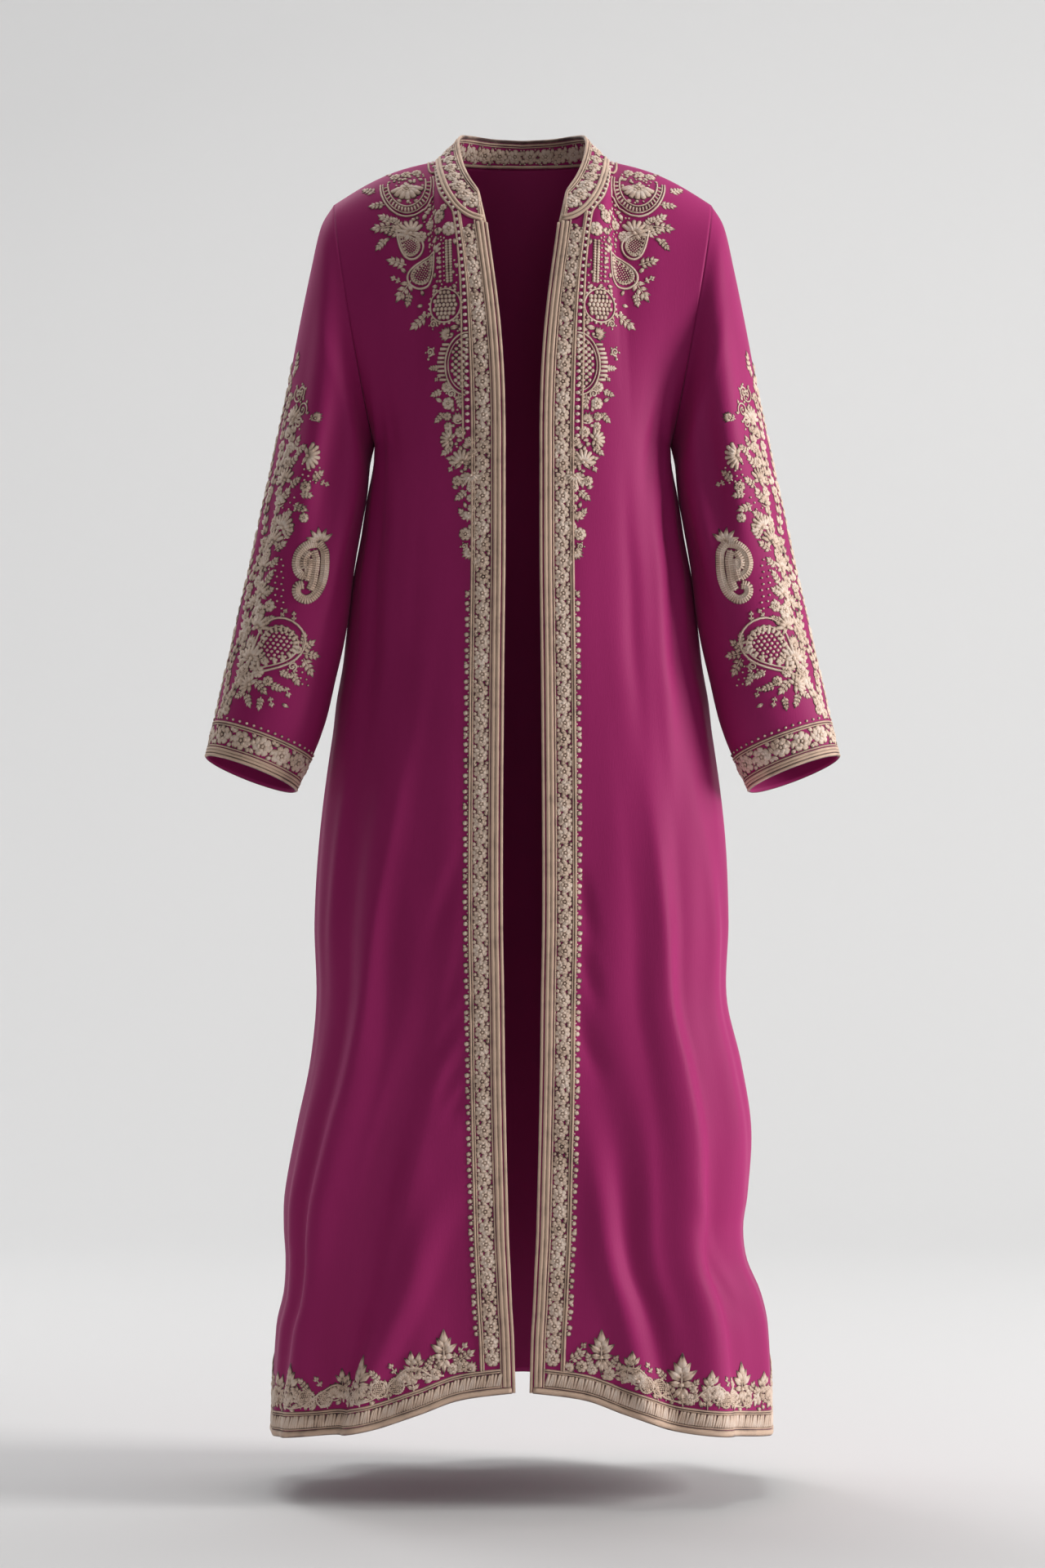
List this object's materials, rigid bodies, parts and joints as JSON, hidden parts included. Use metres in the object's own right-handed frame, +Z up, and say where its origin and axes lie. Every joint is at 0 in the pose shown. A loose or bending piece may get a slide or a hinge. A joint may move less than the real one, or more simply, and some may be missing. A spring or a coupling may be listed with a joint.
{
  "type": "kaftan",
  "caption": "Long open-front kaftan in magenta crepe with a stand collar, long sleeves and pale embroidered bands along its edges",
  "frame": {"origin": "Between the two shoulder seams, level with the sides of the neck, where a wearer or a hanger carries the garment.", "axes": "+Z up, the open front faces -Y, and +X is the wearer's left."},
  "size_m": [0.6954, 0.3311, 1.4359],
  "materials": {
    "cloth": "soft matt crepe with a faint sheen",
    "embroidery": "dense pale champagne thread work with a low silky sheen",
    "braid": "tight pale cord braid"
  },
  "bodies": {
    "root": {"back": "cloth", "front_left": "cloth", "front_right": "cloth", "sleeve_left": "cloth", "sleeve_right": "cloth", "collar": "cloth", "front_band_left": "embroidery", "front_band_right": "embroidery", "hem_band_left": "embroidery", "hem_band_right": "embroidery", "hem_band_back": "embroidery", "cuff_band_left": "embroidery", "cuff_band_right": "embroidery", "front_piping_left": "braid", "front_piping_right": "braid", "collar_braid": "braid", "collar_piping": "braid"}
  },
  "joints": []
}
